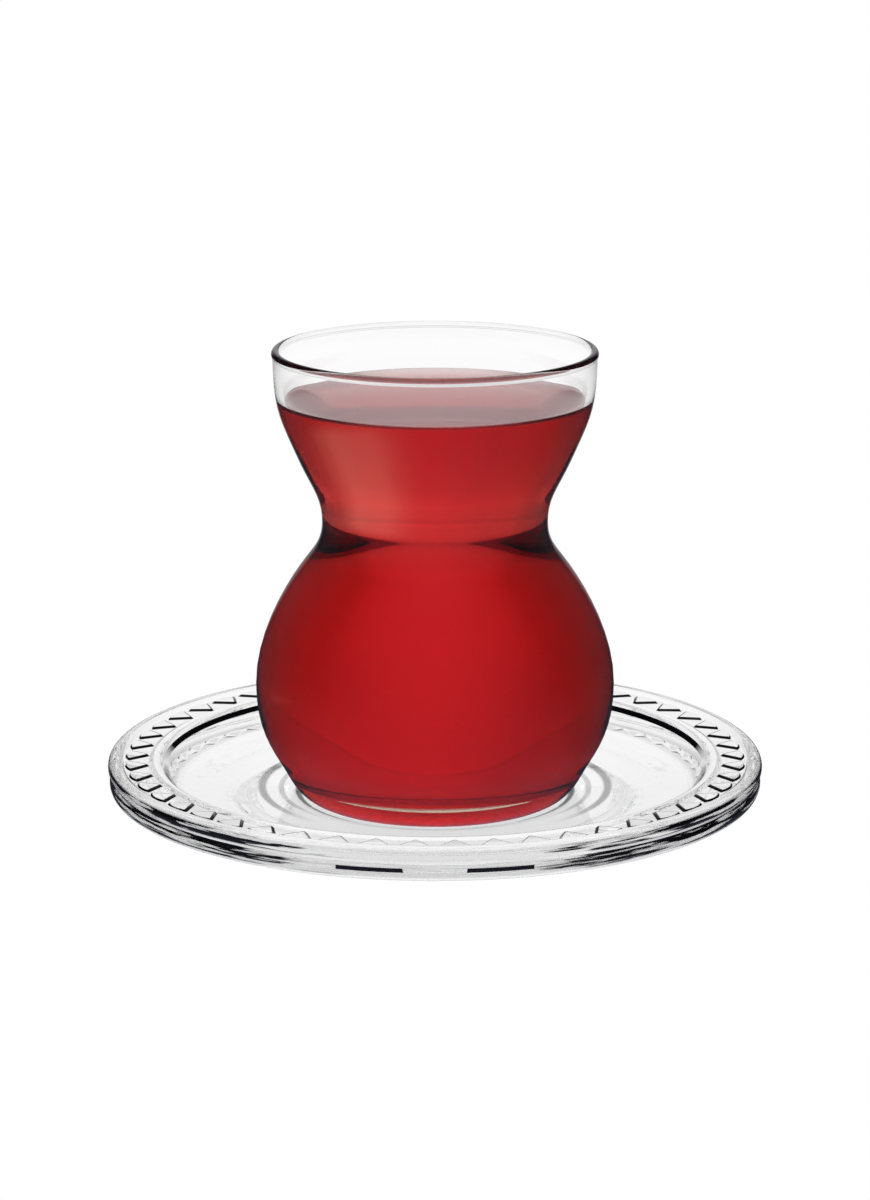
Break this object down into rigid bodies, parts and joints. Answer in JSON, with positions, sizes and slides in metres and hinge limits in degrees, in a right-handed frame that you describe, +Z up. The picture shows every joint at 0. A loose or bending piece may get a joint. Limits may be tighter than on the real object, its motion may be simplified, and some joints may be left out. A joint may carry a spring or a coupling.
{
  "type": "turkish tea glass",
  "caption": "Waisted clear tea glass filled with red black tea, standing on a round pressed-glass saucer with a rim of small raised fans.",
  "frame": {"origin": "middle of the saucer's foot ring, on the surface that it stands on", "axes": "+Z up the shared axis of the saucer, the glass and the tea; the rim fans lie evenly either side of +X and +Y"},
  "size_m": [0.118, 0.118, 0.0858],
  "materials": {
    "clear_glass": "clear, colourless, fire-polished",
    "pressed_glass": "clear, colourless, pressed",
    "black_tea": "clear deep red liquid"
  },
  "bodies": {
    "root": {"saucer": "pressed_glass", "tea_glass": "clear_glass", "tea": "black_tea"}
  },
  "joints": []
}
